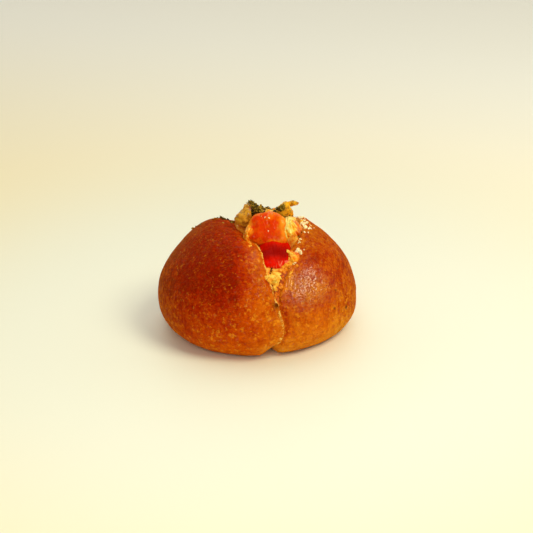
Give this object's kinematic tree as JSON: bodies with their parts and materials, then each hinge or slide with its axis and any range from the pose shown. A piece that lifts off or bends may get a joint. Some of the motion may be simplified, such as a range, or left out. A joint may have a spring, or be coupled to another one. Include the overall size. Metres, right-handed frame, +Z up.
{
  "type": "filled bread bun",
  "caption": "Round glazed bread bun snipped open across the top, filled with crab sticks and baked mayonnaise salad, topped with toasted cheese and parsley.",
  "frame": {"origin": "middle of the bun's bounding box, on the surface it rests on", "axes": "+Z up; -Y is the front with the crease, which the picture shows; +X to the right in the picture, across the cut"},
  "size_m": [0.0922, 0.0876, 0.0588],
  "materials": {
    "glazed_crust": "egg-washed baked crust, red-brown on top and golden lower down, with pale blisters and fine wrinkles",
    "baked_salad": "baked mayonnaise and cheese salad, cream to yellow, moist",
    "crab_stick_orange": "moist orange-red crab stick with fine fibres",
    "crab_stick_red": "moist deep red crab stick with pale fibre ends",
    "toasted_cheese_left": "toasted cheese, tan with a browned tip",
    "toasted_cheese_right": "melted golden cheese with a browned strand"
  },
  "bodies": {
    "root": {"bun": "glazed_crust", "salad": "baked_salad", "crab_stick_upper": "crab_stick_orange", "crab_stick_lower": "crab_stick_red", "cheese_left": "toasted_cheese_left", "cheese_right": "toasted_cheese_right"}
  },
  "joints": []
}
